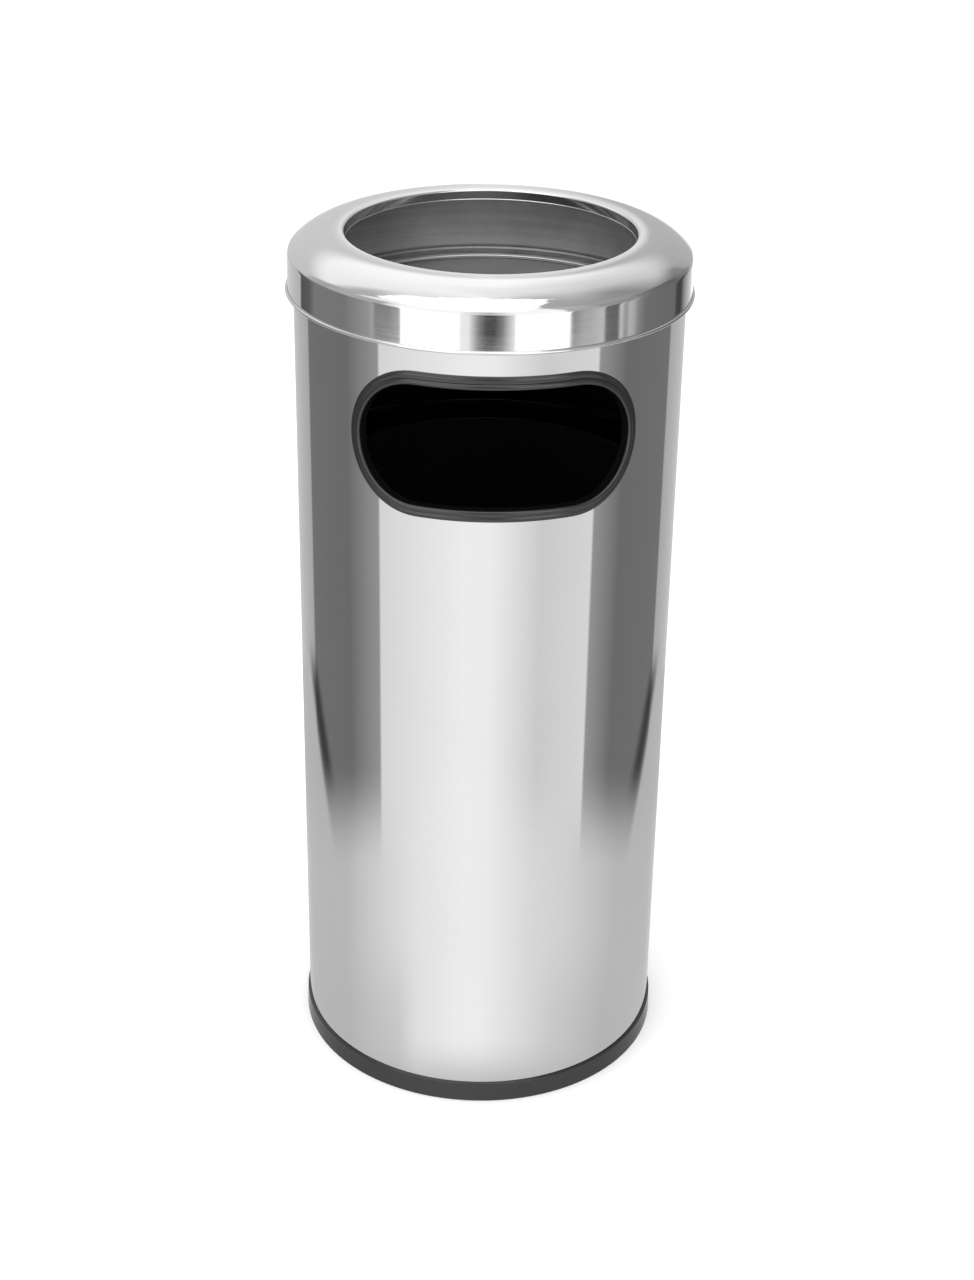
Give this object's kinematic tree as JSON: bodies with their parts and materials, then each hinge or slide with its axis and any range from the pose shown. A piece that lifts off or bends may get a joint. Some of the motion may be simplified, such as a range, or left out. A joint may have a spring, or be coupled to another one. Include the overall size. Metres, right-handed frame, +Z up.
{
  "type": "ashtray bin",
  "caption": "Round polished steel litter bin with an oblong waste opening in its side, a lift-off ash pan under a spun ring lid, and an inner bucket with a bail handle.",
  "frame": {"origin": "centre of the round footprint, on the floor", "axes": "+Z up; the waste opening faces -Y; +X to the right seen from the front"},
  "size_m": [0.2606, 0.2606, 0.5866],
  "materials": {
    "polished_steel": "mirror-polished stainless steel",
    "brushed_pan": "fine circular brushing",
    "black_plastic": "satin black plastic",
    "trim_plastic": "satin-gloss black moulding",
    "black_enamel": "black powder coat",
    "zinc_plate": "zinc-plated steel, dull",
    "zinc_wire": "zinc-plated steel wire",
    "screw_steel": "plain plated steel",
    "grip_plastic": "satin black plastic",
    "pad_rubber": "soft black rubber"
  },
  "bodies": {
    "bin_body": {"body_shell": "polished_steel", "base_plate": "zinc_plate", "base_ring": "black_plastic", "base_screws": "screw_steel", "aperture_trim": "trim_plastic", "trim_frame": "trim_plastic"},
    "bucket": {"bucket_wall": "black_enamel", "bucket_floor": "black_enamel", "bucket_rim_wire": "zinc_plate", "ear_left": "black_enamel", "ear_right": "black_enamel", "ear_rivets": "screw_steel"},
    "bail": {"bail_handle": "zinc_wire", "handle_grip": "grip_plastic"},
    "ash_pan": {"ash_pan": "brushed_pan"},
    "lid": {"lid_ring": "polished_steel", "lid_pads": "pad_rubber"}
  },
  "joints": [
    {"name": "bucket_lift", "type": "slide", "parent": "bin_body", "child": "bucket", "axis": [0, 0, 1], "range_m": [0, 0.56]},
    {"name": "bail_swing", "type": "hinge", "parent": "bucket", "child": "bail", "pos_m": [0, 0, 0.405], "axis": [1, 0, 0], "range_deg": [0, 208]},
    {"name": "pan_lift", "type": "slide", "parent": "bucket", "child": "ash_pan", "axis": [0, 0, 1], "range_m": [0, 0.12]},
    {"name": "lid_lift", "type": "slide", "parent": "ash_pan", "child": "lid", "axis": [0, 0, 1], "range_m": [0, 0.08]}
  ]
}
